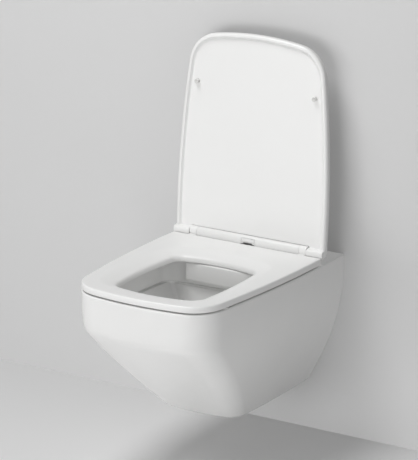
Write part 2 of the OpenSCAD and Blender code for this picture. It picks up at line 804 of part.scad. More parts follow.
module seat_body() {
    h = seat_t;
    ring_loft(concat(
        [for (s = [[2.5, 0], [0.7, 0.7], [0, 2.5], [0, h - 3.2], [0.5, h - 1.6], [2, h - 0.5]])
            at_height(seat_plan(s[0]), seat_z + s[1])],
        [seat_between(0, seat_z + h), seat_between(0.5, seat_z + h + 0.3), seat_between(1, seat_z + h - 0.4)],
        [for (s = [[0.72, 1.6], [0.45, 3.6], [0.22, 6.4], [0.06, 9.8]])
            seat_edge(roll_w * s[0], seat_z + h - s[1])],
        [seat_edge(0, seat_z + 1), seat_edge(1, seat_z)]));
}

module seat_knuckle() {
    axle(knuckle_x0, knuckle_x1, bar_r);
    translate([knuckle_x0, seat_back - 6, hinge_z - 12.5]) cube([knuckle_w, bar_r + bar_gap + 6, 7.3]);
}

module seat_ring() {
    color(plastic) difference() {
        union() {
            seat_body();
            pair() seat_knuckle();
        }
        mirror([1, 0, 0]) keyed_bore(knuckle_x0 - 1, knuckle_x1 + 1);
        axle(knuckle_x0 - 1, knuckle_x1 + 1, bush_bore_r);
        pair() translate([knuckle_x1 + 0.5, seat_back - 3.2, seat_z - 1]) cube([60, 10, seat_t + 3]);
    }
}

seat_buffer_x = 158;
seat_buffer_rest = 0.1;

module seat_buffers() {
    color(rubber) pair() for (y = [-190, -430]) translate([seat_buffer_x, y, top_z + seat_buffer_rest])
        cylinder(h = seat_lift - seat_buffer_rest, r = seat_buffer_r);
}

// Lid, drawn closed and then opened

lid_z = seat_z + seat_t + lid_gap;
lid_top = lid_z + lid_t;
lid_back = hinge_y - bar_r - 1.5;
pocket_back = hinge_y - bar_r - 3.3;

module opened(a) {
    translate([0, hinge_y, hinge_z]) rotate([-a, 0, 0]) translate([0, -hinge_y, -hinge_z]) children();
}

function lid_loop(inset, z) = at_height(plan(plan_w / 2, plan_l, corner_r, inset, lid_back - inset), z);

module lid_plate() {
    profile = [[16, lid_lip], [12, lid_lip - 0.8], [9, lid_lip - 3], [7.5, 0.4], [6.5, 0], [4, 0.6], [1.8, 2.6],
        [0.4, 5], [0, 8], [0, lid_t - 2.3], [0.6, lid_t - 0.8], [2.5, lid_t]];
    loft([for (s = profile) lid_loop(s[0], lid_z + s[1])]);
}

// Knuckle that wraps the shaft, cut to the lid's outline.
module lid_knuckle() {
    top = lid_top - hinge_z;
    low = lid_z - hinge_z;
    intersection() {
        along_x(lid_knuckle_x, plan_w / 2 + 5) union() {
            polygon([[-22, low + 1], [-22, top], [-1, top], [4.5, top - 2], [8.2, 3], [9.5, -4], [10, -9],
                [8.5, -11], [6, -11.7], [-2, -11.7], [-6, -10.5], [-9, -8], [-12, -5]]);
        }
        linear_extrude(lid_top + 50) polygon(plan(plan_w / 2, plan_l, corner_r, 0, 0));
    }
}

module lid() {
    color(plastic) opened(lid_open) difference() {
        union() {
            lid_plate();
            pair() lid_knuckle();
        }
        keyed_bore(lid_knuckle_x - 1, shaft_end + 0.3);
        mirror([1, 0, 0]) axle(lid_knuckle_x - 1, shaft_end + 0.3, bush_bore_r);
        pair() translate([bar_w / 2 - 0.5, pocket_back, lid_z - 1])
            cube([lid_knuckle_x - bar_w / 2 + 0.5, 20, lid_t + 2]);
    }
}

module lid_buffers() {
    rest = 0.3;
    color(rubber) opened(lid_open) pair()
        translate([lid_buffer_gap / 2, hinge_y - lid_buffer_y, seat_z + seat_t + rest])
            cylinder(h = lid_gap + lid_lip - rest, r = lid_buffer_r);
}

bowl();
flush_distributor();
wall_bracket_left();
wall_bracket_right();
clamp_sleeves();
deck_bushes();
hinge_gaskets();
hinge_base_left();
hinge_base_right();
hinge_screws();
hinge_bar();
hinge_bar_base();
release_button();
button_spring();
latch_left();
latch_right();
seat_damper_body();
seat_damper_shaft();
lid_damper_body();
lid_damper_shaft();
ring_bush();
lid_bush();
seat_ring();
seat_buffers();
lid();
lid_buffers();
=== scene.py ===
"""Looks of a wall hung toilet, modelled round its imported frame. Lengths are metres, +Y runs into the wall."""
import json
import math

import bpy
from bpy.props import FloatProperty, IntProperty, PointerProperty, StringProperty
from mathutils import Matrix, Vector

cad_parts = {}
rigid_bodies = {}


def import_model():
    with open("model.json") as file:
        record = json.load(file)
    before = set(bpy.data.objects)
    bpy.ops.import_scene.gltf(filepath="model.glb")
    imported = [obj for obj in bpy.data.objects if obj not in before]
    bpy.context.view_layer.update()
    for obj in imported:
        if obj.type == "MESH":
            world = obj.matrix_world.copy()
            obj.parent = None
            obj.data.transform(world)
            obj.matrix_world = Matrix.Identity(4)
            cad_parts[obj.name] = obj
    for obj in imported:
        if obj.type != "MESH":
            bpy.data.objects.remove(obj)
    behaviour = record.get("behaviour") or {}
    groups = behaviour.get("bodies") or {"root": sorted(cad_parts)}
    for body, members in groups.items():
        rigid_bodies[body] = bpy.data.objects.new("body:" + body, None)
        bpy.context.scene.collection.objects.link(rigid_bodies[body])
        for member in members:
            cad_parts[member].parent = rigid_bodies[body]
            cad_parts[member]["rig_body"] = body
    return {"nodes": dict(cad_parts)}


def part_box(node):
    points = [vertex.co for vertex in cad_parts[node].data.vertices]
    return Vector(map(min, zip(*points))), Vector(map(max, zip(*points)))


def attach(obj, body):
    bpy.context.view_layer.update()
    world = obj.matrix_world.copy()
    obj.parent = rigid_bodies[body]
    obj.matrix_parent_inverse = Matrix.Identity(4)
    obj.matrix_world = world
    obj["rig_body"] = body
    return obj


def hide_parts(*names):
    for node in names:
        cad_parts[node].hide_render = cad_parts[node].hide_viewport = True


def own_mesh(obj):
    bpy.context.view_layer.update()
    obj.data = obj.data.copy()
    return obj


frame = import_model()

bl_info = {
    "name": "Wall Hung Toilet",
    "version": (1, 0, 0),
    "blender": (4, 5, 0),
    "location": "View3D > Sidebar > Toilet",
    "description": "Models and finishes a wall hung toilet round its frame",
    "category": "Object",
}

# Outlines drawn by a chain of spins are welded coarsely, small turned parts finely.
WELD = 5e-5
FINE_WELD = 5e-6
# How far a cutter reaches past the face that it opens.
PAST = 0.001
# Width of the flat border inside a moulding's round edge.
BORDER = 0.004
# Angles round a quarter circle, in six steps.
QUARTER = [k * math.pi / 12 for k in range(7)]
# Axis of every spin, with which outlines run anticlockwise seen from above.
DOWN = (0, 0, -1)


def length(name, default, description):
    """Property for a length in metres."""
    return FloatProperty(name=name, default=default, description=description, unit="LENGTH", precision=4)


def number(name, default, description):
    """Property for a number without a unit."""
    return FloatProperty(name=name, default=default, description=description, precision=3)


def colour(name, default, description):
    """Property for a colour, as an sRGB hex value."""
    return StringProperty(name=name, default=default, description=description)


class BowlSizes(bpy.types.PropertyGroup):
    """Sizes of the ceramic bowl"""

    width: length("Width", 0.365, "Greatest width of bowl, seat and lid")
    projection: length("Projection", 0.518, "From the wall to the front edge")
    widest: length("Widest Place", 0.146, "From the wall to the widest place")
    side_radius: length("Side Radius", 2.46, "Radius of the slightly bowed sides")
    front_radius: length("Front Radius", 0.655, "Radius of the bowed front edge")
    corner_radius: length("Corner Radius", 0.072, "Radius of the two front corners")
    top: length("Top", 0.080, "Height of the bowl's top above the wall bolts")
    height: length("Height", 0.295, "Height of the whole bowl")
    band: length("Band", 0.076, "Height of the upright band round the top")
    straight: length("Straight Sides", 0.030, "Height of the straight sides below the top")
    foot_width: length("Foot Width", 0.191, "Width of the foot under the bowl")
    foot_length: length("Foot Length", 0.293, "From the wall to the foot's front")
    foot_radius: length("Foot Radius", 0.038, "Radius of the foot's front corners")
    taper_power: number("Taper Power", 1.85, "How late the sides draw in towards the foot")
    crease: length("Crease", 0.007, "Softness of the crease under the band")
    crease_drop: length("Crease Drop", 0.004, "How far the crease lies below the band")
    edge: length("Edge", 0.0035, "Rounding of the top edge")
    foot_edge: length("Foot Edge", 0.007, "Rounding of the lower edge")
    wall: length("Wall", 0.011, "Thickness of the upright walls")
    under_wall: length("Under Wall", 0.01485, "Thickness of the sloping underside, measured level")
    deck: length("Deck", 0.012, "Thickness of the deck behind the basin")
    flange: length("Flange", 0.012, "Thickness of the flange on the wall")
    flange_width: length("Flange Width", 0.024, "Width of the flange on the wall")


class BasinSizes(bpy.types.PropertyGroup):
    """Sizes of the basin and the waterways"""

    width: length("Width", 0.282, "Width below the rounded mouth")
    back: length("Back", 0.185, "From the wall to the basin's back")
    front: length("Front", 0.470, "From the wall to the basin's front")
    mouth: length("Mouth", 0.006, "Rounding of the mouth")
    ledge: length("Ledge", 0.056, "Drop from the top to the ledge")
    step: length("Step", 0.008, "Step inwards at the ledge")
    sump_radius: length("Sump Radius", 0.028, "Half the width of the sump")
    sump: length("Sump", 0.260, "From the wall to the sump's middle")
    sump_floor: length("Sump Floor", -0.176, "Height of the sump's end")
    corner: length("Corner", 0.042, "Radius of the basin's corners")
    valley: length("Valley", 0.010, "Radius of the funnel's corners below the ledge")
    bow: length("Bow", 1.3, "Radius of the bowed sides")
    funnel_drop: length("Funnel Drop", 0.005, "How far the funnel starts below the ledge")
    funnel_side: length("Funnel Side", 0.004, "How far the funnel starts inside the step")
    funnel_front: length("Funnel Front", 0.015, "How far the funnel starts behind the basin's front")
    funnel_power: number("Funnel Power", 1.2, "How hollow the funnel's walls are")
    thickness: length("Thickness", 0.010, "Thickness of the basin's wall")
    trap: length("Trap", 0.0265, "Radius of the trap's passage")
    weir: length("Weir", 0.125, "From the wall to the trap's weir")
    weir_height: length("Weir Height", -0.0715, "Height of the passage's middle at the weir")
    inlet: length("Inlet", 0.0275, "Radius of the flush inlet")
    inlet_height: length("Inlet Height", 0.035, "Height of the flush inlet")
    inlet_depth: length("Inlet Depth", 0.045, "Depth of the flush inlet")
    channel: length("Channel", 0.016, "Radius of the flush channel")
    channel_rise: length("Channel Rise", 0.019, "Rise of the flush channel")
    outlet: length("Outlet", 0.043, "Bore radius of the outlet")
    spigot: length("Spigot", 0.051, "Radius of the outlet spigot")
    spigot_length: length("Spigot Length", 0.066, "Length of the outlet spigot")
    outlet_height: length("Outlet Height", -0.100, "Height of the outlet's middle")
    pipe_wall: length("Pipe Wall", 0.008, "Wall thickness of the waterways")


class SeatSizes(bpy.types.PropertyGroup):
    """Sizes of the seat"""

    lift: length("Lift", 0.003, "Gap between the bowl and the seat")
    thickness: length("Thickness", 0.0138, "Thickness of the seat")
    inset: length("Inset", 0.0008, "Inset of the seat's outline from the bowl's")
    back: length("Back", -0.0958, "Place of the seat's back edge")
    opening: length("Opening", 0.212, "Width of the opening at its lower edge")
    opening_back: length("Opening Back", 0.1985, "From the wall to the opening's back")
    opening_front: length("Opening Front", 0.454, "From the wall to the opening's front")
    opening_corner: length("Opening Corner", 0.028, "Radius of the opening's corners")
    opening_side: length("Opening Side", 0.9, "Radius of the opening's bowed sides")
    opening_end: length("Opening End", 0.36, "Radius of the opening's bowed ends")
    roll: length("Roll", 0.034, "Width of the soft edge round the opening")
    lip: length("Lip", 0.008, "How far the opening's edge reaches down into the bowl")
    lip_thickness: length("Lip Thickness", 0.004, "Thickness of that edge")
    knuckle: length("Knuckle", 0.0165, "Width of the seat's knuckles")
    buffer_radius: length("Buffer Radius", 0.008, "Radius of the seat's buffers")


class LidSizes(bpy.types.PropertyGroup):
    """Sizes of the lid"""

    thickness: length("Thickness", 0.0138, "Thickness of the lid at its edge")
    lip: length("Lip", 0.005, "Height of the rim above the inner face")
    gap: length("Gap", 0.0022, "Gap between the closed lid and the seat")
    seam: length("Seam", 0.0012, "Gap between the seat's and the lid's knuckles")
    back_gap: length("Back Gap", 0.0007, "Gap between the lid's edge and the hinge bar")
    angle: FloatProperty(name="Angle", default=math.radians(94.2), description="How far the lid stands open",
                         subtype="ANGLE")
    buffer_radius: length("Buffer Radius", 0.005, "Radius of the lid's buffers")
    buffer_spacing: length("Buffer Spacing", 0.284, "Distance between the lid's buffers")
    buffer_reach: length("Buffer Reach", 0.319, "Distance from the hinge axis to the buffers")


class HingeSizes(bpy.types.PropertyGroup):
    """Sizes of the hinge"""

    back: length("Back", 0.0845, "From the wall to the hinge axis")
    rise: length("Rise", 0.0225, "Height of the hinge axis above the bowl's top")
    bar_width: length("Bar Width", 0.250, "Length of the hinge bar")
    radius: length("Radius", 0.010, "Radius of the bar and the knuckles")
    side_gap: length("Side Gap", 0.0005, "Gap between the bar and the knuckles beside it")
    shaft_bore: length("Shaft Bore", 0.00402, "Radius of the bores for the damper shafts")
    shaft_end: length("Shaft End", 0.1718, "Distance from the middle to the end of the shafts' bores")
    bush: length("Bush", 0.00607, "Radius of the bushes' seats")
    screw_spacing: length("Screw Spacing", 0.155, "Distance between the hinge screws")
    button_seam: length("Button Seam", 0.0011, "Visible seam round the release button")
    scoop: length("Scoop", 0.022, "Width of the thumb scoop in the release button")
    deck_hole: length("Deck Hole", 0.0095, "Radius of the holes in the deck")


class DistributorSizes(bpy.types.PropertyGroup):
    """Sizes of the flush distributor"""

    width: length("Width", 0.168, "Width of the panel")
    height: length("Height", 0.040, "Height of the panel")
    bottom: length("Bottom", 0.034, "Height of its lower edge")
    depth: length("Depth", 0.012, "Depth of the box")
    gap: length("Gap", 0.0046, "Gap to the basin's back")
    shell: length("Shell", 0.0025, "Thickness of its walls")


class Finishes(bpy.types.PropertyGroup):
    """Colours of the finishes, as sRGB hex values"""

    glaze: colour("Glaze", "#f4f4f3", "Glazed vitreous china")
    seat: colour("Seat", "#f4f4f3", "Pressed urea seat and lid")
    hinge: colour("Hinge", "#f0f0ef", "Moulded hinge cover")
    rubber: colour("Rubber", "#dcdcda", "Elastomer buffers and gaskets")
    zinc: colour("Zinc", "#b9bcc0", "Zinc-plated steel")
    nylon: colour("Nylon", "#c4c5c4", "Moulded nylon")
    floor: colour("Floor", "#eeeeee", "Studio floor")
    wall: colour("Wall", "#dedede", "Studio wall")
    backdrop: colour("Backdrop", "#cfcfcf", "Studio background")


class ToiletSettings(bpy.types.PropertyGroup):
    """Everything that a user would change"""

    bowl: PointerProperty(type=BowlSizes)
    basin: PointerProperty(type=BasinSizes)
    seat: PointerProperty(type=SeatSizes)
    lid: PointerProperty(type=LidSizes)
    hinge: PointerProperty(type=HingeSizes)
    distributor: PointerProperty(type=DistributorSizes)
    finish: PointerProperty(type=Finishes)
    corner_steps: IntProperty(name="Corner Steps", default=14, description="Edges in each round corner")
    side_steps: IntProperty(name="Side Steps", default=16, description="Edges in each bowed side")
    front_steps: IntProperty(name="Front Steps", default=20, description="Edges in the bowed front")


def settings():
    """All settings of the object."""
    return bpy.context.scene.toilet


def groups(*names):
    """Groups of the settings by their names."""
    return [getattr(settings(), name) for name in names]


# Drawing outlines

def mix(a, b, share):
    """The value at a share of the way from a to b."""
    return a + (b - a) * share


def direction(arrow):
    """Angle of a flat arrow."""
    return math.atan2(arrow.y, arrow.x)


def meet(first, first_radius, second, second_radius):
    """The point at those distances from two centres, on the front side."""
    gap = second - first
    reach = gap.length
    along = (first_radius ** 2 - second_radius ** 2 + reach ** 2) / (2 * reach)
    ahead = gap / reach
    return first + along * ahead + math.sqrt(first_radius ** 2 - along ** 2) * Vector((ahead.y, -ahead.x))


def plan_loop(half_width, front, corner, inset, back, height):
    """Outline of bowl, seat or lid: bowed sides, round corners, a bowed front and a straight back."""
    s = settings()
    b = s.bowl
    bow = b.front_radius * half_width / (b.width / 2)
    side = Vector((half_width - b.side_radius, -b.widest))
    nose = Vector((0, bow - front))
    bend = meet(side, b.side_radius - corner, nose, bow - corner)
    a_side = direction(bend - side)
    a_front = direction(bend - nose)
    a_back = math.asin((back + b.widest) / (b.side_radius - inset))
    half = side.x + (b.side_radius - inset) * math.cos(a_back)
    turn = a_side - a_front
    sweep = [((-side.x, side.y), a_back - a_side, s.side_steps), ((-bend.x, bend.y), turn, s.corner_steps),
             (nose, math.pi + 2 * a_front, s.front_steps), (bend, turn, s.corner_steps),
             (side, a_back - a_side, s.side_steps)]
    return (-half, back, height), sweep, -2 * half


def round_box_loop(half_width, back, front, corner, side_bow, end_bow, height):
    """Outline of basin or opening: four bowed sides and round corners, drawn from the middle of its front."""
    s = settings()
    middle = -(back + front) / 2
    reach = (front - back) / 2
    side = Vector((half_width - side_bow, middle))
    nose = Vector((0, middle + end_bow - reach))
    bend = meet(side, side_bow - corner, nose, end_bow - corner)
    a_side = direction(bend - side)
    a_front = direction(bend - nose)
    turn = a_side - a_front
    far = 2 * middle
    half_front = math.pi / 2 + a_front
    end_steps = s.front_steps // 2
    sweep = [(nose, half_front, end_steps // 2), (bend, turn, s.corner_steps),
             (side, -2 * a_side, s.side_steps - 2), ((bend.x, far - bend.y), turn, s.corner_steps),
             ((0, far - nose.y), 2 * half_front, end_steps), ((-bend.x, far - bend.y), turn, s.corner_steps),
             ((-side.x, side.y), -2 * a_side, s.side_steps - 2), ((-bend.x, bend.y), turn, s.corner_steps),
             (nose, half_front, end_steps // 2)]
    return (0, -front, height), sweep, 0


def extrude(arrow):
    """Moves on from what is selected, and leaves an edge or a side behind."""
    bpy.ops.mesh.extrude_region_move(TRANSFORM_OT_translate={"value": arrow})


def trace(points):
    """Draws a line from point to point."""
    bpy.ops.mesh.primitive_plane_add(size=0.001, location=points[0])
    bpy.ops.mesh.merge(type="CENTER")
    for before, after in zip(points, points[1:]):
        extrude(Vector(after) - Vector(before))


def draw(start, sweep, chord):
    """Draws one closed outline: a point spun round each centre in turn, then a straight back."""
    bpy.ops.mesh.select_all(action="DESELECT")
    trace([start])
    for centre, angle, steps in sweep:
        bpy.ops.mesh.spin(steps=steps, angle=angle, center=(centre[0], centre[1], start[2]), axis=DOWN)
    if chord:
        extrude((chord, 0, 0))
    bpy.ops.mesh.select_linked()
    bpy.ops.mesh.remove_doubles(threshold=WELD)


def begin(name):
    """Starts an empty mesh at the origin, in edit mode."""
    bpy.ops.object.select_all(action="DESELECT")
    bpy.ops.object.add(type="MESH", location=(0, 0, 0))
    piece = bpy.context.object
    piece.name = name
    piece.data.name = name
    bpy.ops.object.mode_set(mode="EDIT")
    bpy.context.tool_settings.mesh_select_mode = (True, False, False)
    return piece


def weld(gap):
    """Selects all and merges points that lie closer than the gap."""
    bpy.ops.mesh.select_all(action="SELECT")
    bpy.ops.mesh.remove_doubles(threshold=gap)


def end():
    """Turns all faces outwards and leaves edit mode."""
    bpy.ops.mesh.select_all(action="SELECT")
    bpy.ops.mesh.normals_make_consistent(inside=False)
    bpy.ops.object.mode_set(mode="OBJECT")


def select_open():
    """Selects the edges that still need a face."""
    bpy.ops.mesh.select_all(action="DESELECT")
    bpy.ops.mesh.select_non_manifold(use_multi_face=False, use_non_contiguous=False, use_verts=False)


def cap(border):
    """Closes the selected outline with a flat face, whose border keeps its shading flat."""
    bpy.ops.mesh.edge_face_add()
    if border:
        bpy.ops.mesh.inset(thickness=border)


def loft(name, loops, border=0.0):
    """Closed skin through a stack of outlines, no two of them in one plane."""
    piece = begin(name)
    for index, loop in enumerate(loops):
        draw(*loop)
        if index == 0:
            cap(border)
        else:
            select_open()
            bpy.ops.mesh.bridge_edge_loops()
    select_open()
    cap(border)
    end()
    return piece


def prism(name, corners, arrow):
    """Closed solid: an outline drawn point by point, then extruded along an arrow."""
    piece = begin(name)
    trace(corners)
    bpy.ops.mesh.select_all(action="SELECT")
    bpy.ops.mesh.edge_face_add()
    extrude(arrow)
    end()
    return piece


def rounded(corners, steps=5):
    """Points along a profile of corners (across, up, radius), each an arc of its radius."""
    points = []
    for index, (across, up, radius) in enumerate(corners):
        here = Vector((across, up))
        if not radius:
            points.append(here)
            continue
        before = (Vector(corners[index - 1][:2]) - here).normalized()
        after = (Vector(corners[(index + 1) % len(corners)][:2]) - here).normalized()
        half = before.angle(after) / 2
        centre = here + (before + after).normalized() * radius / math.sin(half)
        first = here + before * radius / math.tan(half) - centre
        last = here + after * radius / math.tan(half) - centre
        points += [centre + first.lerp(last, k / steps).normalized() * radius for k in range(steps + 1)]
    return points


def settle(name):
    """Names a new primitive and applies its place, turn and size."""
    piece = bpy.context.object
    piece.name = name
    bpy.ops.object.transform_apply(location=True, rotation=True, scale=True)
    return piece


def cylinder(name, radius, start, arrow, steps=96):
    """Round solid from a start point along an arrow."""
    arrow = Vector(arrow)
    bpy.ops.object.select_all(action="DESELECT")
    bpy.ops.mesh.primitive_cylinder_add(vertices=steps, radius=radius, depth=arrow.length,
                                        location=Vector(start) + arrow / 2,
                                        rotation=Vector((0, 0, 1)).rotation_difference(arrow).to_euler())
    return settle(name)


def side_block(name, side, near, far, low, high):
    """Box on one side, between two distances from the middle and two corners (y, z)."""
    left, right = sorted((side * near, side * far))
    return block(name, (left, *low), (right, *high))


def block(name, low, high):
    """Box between two corners."""
    low, high = Vector(low), Vector(high)
    bpy.ops.object.select_all(action="DESELECT")
    bpy.ops.mesh.primitive_cube_add(size=1, location=(low + high) / 2, scale=high - low)
    return settle(name)


def only(piece):
    """Makes a piece the one that is selected and active."""
    bpy.ops.object.select_all(action="DESELECT")
    piece.select_set(True)
    bpy.context.view_layer.objects.active = piece


def copy_of(piece):
    """A second piece with the same form."""
    only(piece)
    bpy.ops.object.duplicate()
    return bpy.context.object


def modify(piece, kind, **options):
    """Adds a modifier with its options to a piece and applies it."""
    only(piece)
    bpy.ops.object.modifier_add(type=kind)
    step = piece.modifiers[-1]
    for name, value in options.items():
        setattr(step, name, value)
    bpy.ops.object.modifier_apply(modifier=step.name)
    return piece


def combine(piece, operation, *tools):
    """Adds, cuts or crosses a piece with other solids, which are used up."""
    for tool in tools:
        modify(piece, "BOOLEAN", operation=operation, solver="MANIFOLD", object=tool)
        bpy.data.meshes.remove(tool.data)
    return piece


def cut(piece, *tools):
    """Cuts solids away from a piece."""
    return combine(piece, "DIFFERENCE", *tools)


def add(piece, *tools):
    """Joins solids to a piece."""
    return combine(piece, "UNION", *tools)


def soften(piece, width, segments, angle=35):
    """Rounds the sharp edges of a solid."""
    return modify(piece, "BEVEL", width=width, segments=segments, limit_method="ANGLE",
                  angle_limit=math.radians(angle), miter_outer="MITER_ARC")


def smooth(piece, angle=35):
    """Shades a piece smooth, apart from edges sharper than the angle."""
    only(piece)
    bpy.ops.object.shade_smooth_by_angle(angle=math.radians(angle), keep_sharp_edges=False)
    return piece


def weigh(piece):
    """Lets large flat faces keep their own shading beside small round ones."""
    return modify(piece, "WEIGHTED_NORMAL", keep_sharp=True, weight=60)


def finish_piece(piece, name, body, finish, node):
    """Gives a piece its name, its material and its body, and hides the node that it stands for."""
    piece.name = name
    piece.data.materials.clear()
    piece.data.materials.append(finish)
    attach(piece, body)
    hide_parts(node)
    return piece


# Materials

def linear(hex_value):
    """sRGB hex to linear colour."""
    parts = [int(hex_value[i:i + 2], 16) / 255 for i in (1, 3, 5)]
    return tuple(p / 12.92 if p <= 0.04045 else ((p + 0.055) / 1.055) ** 2.4 for p in parts) + (1.0,)


def add_node(tree, kind, inputs=None, **options):
    """Adds a shader node with its options, and sets or links its inputs."""
    made = tree.nodes.new(kind)
    for name, value in options.items():
        setattr(made, name, value)
    for name, value in (inputs or {}).items():
        if isinstance(value, bpy.types.NodeSocket):
            tree.links.new(value, made.inputs[name])
        else:
            made.inputs[name].default_value = value
    return made


def start_material(name):
    """An empty node material, its tree and the object's own coordinates."""
    material = bpy.data.materials.new(name)
    material.use_nodes = True
    tree = material.node_tree
    tree.nodes.clear()
    return material, tree, add_node(tree, "ShaderNodeTexCoord").outputs["Object"]


def surface(inputs):
    """Turns a function that gives a shader's inputs into one that gives the material, made once."""
    name = inputs.__name__

    def material():
        if name in bpy.data.materials:
            return bpy.data.materials[name]
        made, tree, place = start_material(name)
        shader = add_node(tree, "ShaderNodeBsdfPrincipled", inputs(place))
        add_node(tree, "ShaderNodeOutputMaterial", {"Surface": shader.outputs["BSDF"]})
        return made

    return material


def noise(place, size, detail=2.0):
    """Noise whose features are about that many metres across."""
    inputs = {"Vector": place, "Scale": 1 / size, "Detail": detail}
    return add_node(place.id_data, "ShaderNodeTexNoise", inputs).outputs["Fac"]


def spread(value, low, high):
    """Maps noise from its usual middle range to low and high."""
    inputs = {"Value": value, "From Min": 0.3, "From Max": 0.7, "To Min": low, "To Max": high}
    return add_node(value.id_data, "ShaderNodeMapRange", inputs).outputs["Result"]


def bump(height, strength, depth, under=None):
    """Normal that follows a height, laid over another normal if there is one."""
    inputs = {"Height": height, "Strength": strength, "Distance": depth}
    if under is not None:
        inputs["Normal"] = under
    return add_node(height.id_data, "ShaderNodeBump", inputs).outputs["Normal"]


def tint(value, hex_value, change):
    """Colour that varies a little with noise."""
    dark = [c * (1 - change) for c in linear(hex_value)[:3]] + [1.0]
    light = [min(c * (1 + change), 1.0) for c in linear(hex_value)[:3]] + [1.0]
    ramp = add_node(value.id_data, "ShaderNodeValToRGB", {"Fac": value})
    ramp.color_ramp.elements[0].position = 0.3
    ramp.color_ramp.elements[0].color = dark
    ramp.color_ramp.elements[1].position = 0.7
    ramp.color_ramp.elements[1].color = light
    return ramp.outputs["Color"]


@surface
def glazed_vitreous_china(place):
    """Dipped and fired sanitary glaze."""
    # The glaze pools in slow waves 25 mm apart, which bend the reflections a little.
    waves = noise(place, 0.025, 1.0)
    # Fired glaze has a faint orange peel, about 3 mm across.
    peel = noise(place, 0.003)
    return {"Base Color": tint(noise(place, 0.09), settings().finish.glaze, 0.008),
            "Roughness": spread(noise(place, 0.02), 0.10, 0.16), "IOR": 1.52,
            "Normal": bump(peel, 0.04, 0.0001, bump(waves, 0.10, 0.0006))}


@surface
def pressed_urea(place):
    """Compression-moulded urea plastic, polished by its mould."""
    # Flow of the moulding compound gives clouds about 90 mm across, just lighter and darker.
    clouds = noise(place, 0.09, 1.0)
    # The polished mould leaves a slow ripple about 14 mm across, which bends reflections a little.
    ripple = noise(place, 0.014, 1.0)
    return {"Base Color": tint(clouds, settings().finish.seat, 0.002),
            "Roughness": spread(noise(place, 0.05), 0.30, 0.33), "IOR": 1.55,
            "Normal": bump(ripple, 0.02, 0.0001)}


@surface
def moulded_abs(place):
    """Injection-moulded ABS with a satin mould texture."""
    # The etched mould's grain, really 0.1 mm, is drawn 0.5 mm across so that it shows.
    grain = noise(place, 0.0005)
    return {"Base Color": tint(noise(place, 0.04), settings().finish.hinge, 0.006),
            "Roughness": spread(grain, 0.34, 0.42), "IOR": 1.54,
            "Normal": bump(grain, 0.06, 0.00005)}


@surface
def moulded_elastomer(place):
    """Soft thermoplastic elastomer, slightly see-through at its edges."""
    # The matt skin of soft moulded rubber scatters light in specks about 0.4 mm across.
    skin = noise(place, 0.0004, 3.0)
    return {"Base Color": tint(noise(place, 0.006), settings().finish.rubber, 0.02),
            "Roughness": spread(skin, 0.5, 0.62), "IOR": 1.5, "Subsurface Weight": 0.25,
            "Subsurface Radius": (0.002, 0.002, 0.002), "Normal": bump(skin, 0.15, 0.00005)}


@surface
def zinc_plated_steel(place):
    """Pressed and turned steel with bright zinc plating."""
    # Zinc crystals give patches about 5 mm across, a little lighter and darker.
    patches = noise(place, 0.005, 3.0)
    # Tool marks under the plating are fine lines 0.4 mm apart.
    marks = noise(place, 0.0004, 1.0)
    return {"Base Color": tint(patches, settings().finish.zinc, 0.07), "Metallic": 1.0,
            "Roughness": spread(patches, 0.30, 0.44), "Normal": bump(marks, 0.12, 0.00003)}


@surface
def moulded_nylon(place):
    """Injection-moulded nylon, dull and slightly waxy."""
    # Glass-filled nylon shows faint flow specks about 0.8 mm across.
    specks = noise(place, 0.0008, 3.0)
    return {"Base Color": tint(specks, settings().finish.nylon, 0.03),
            "Roughness": spread(specks, 0.45, 0.55), "IOR": 1.53,
            "Normal": bump(specks, 0.1, 0.00005)}


@surface
def studio_floor_paint(place):
    """Matt floor paint."""
    # A paint roller leaves faint marks about 10 mm across.
    paint = noise(place, 0.01)
    return {"Base Color": tint(paint, settings().finish.floor, 0.002), "Roughness": 0.9,
            "Specular IOR Level": 0.1}


def studio_wall_paint():
    """Matt wall paint, see-through from behind, where the wall would hide the object."""
    material, tree, place = start_material("studio_wall_paint")
    # A paint roller leaves faint marks about 12 mm across.
    paint = tint(noise(place, 0.012), settings().finish.wall, 0.002)
    front = add_node(tree, "ShaderNodeBsdfDiffuse", {"Color": paint}).outputs[0]
    clear = add_node(tree, "ShaderNodeBsdfTransparent").outputs[0]
    behind = add_node(tree, "ShaderNodeNewGeometry").outputs["Backfacing"]
    both = add_node(tree, "ShaderNodeMixShader", {0: behind, 1: front, 2: clear})
    add_node(tree, "ShaderNodeOutputMaterial", {"Surface": both.outputs[0]})
    return material


# Form of the bowl at a height

def crease_height():
    """Height of the crease between the upright band and the sloping underside."""
    b = settings().bowl
    return b.top - b.band - b.crease_drop


def taper(height):
    """Share of the way from the full width to the foot's."""
    b = settings().bowl
    drop = max(b.top - b.straight - height, 0.0)
    return (drop / (b.height - b.straight)) ** b.taper_power


def slope(height):
    """Share of the way from the band to the foot, with a soft crease."""
    b = settings().bowl
    drop = crease_height() - height
    return (drop + math.hypot(drop, b.crease)) / 2 / (crease_height() - b.top + b.height)


def bowl_loop(height, inset, back):
    """The bowl's outline at a height."""
    b = settings().bowl
    return plan_loop(mix(b.width / 2, b.foot_width / 2, taper(height)),
                     mix(b.projection, b.foot_length, slope(height)),
                     mix(b.corner_radius, b.foot_radius, slope(height)), inset, back, height)


def steps_between(low, high, count):
    """Evenly spaced heights after low, up to high."""
    return [mix(low, high, (k + 1) / count) for k in range(count)]


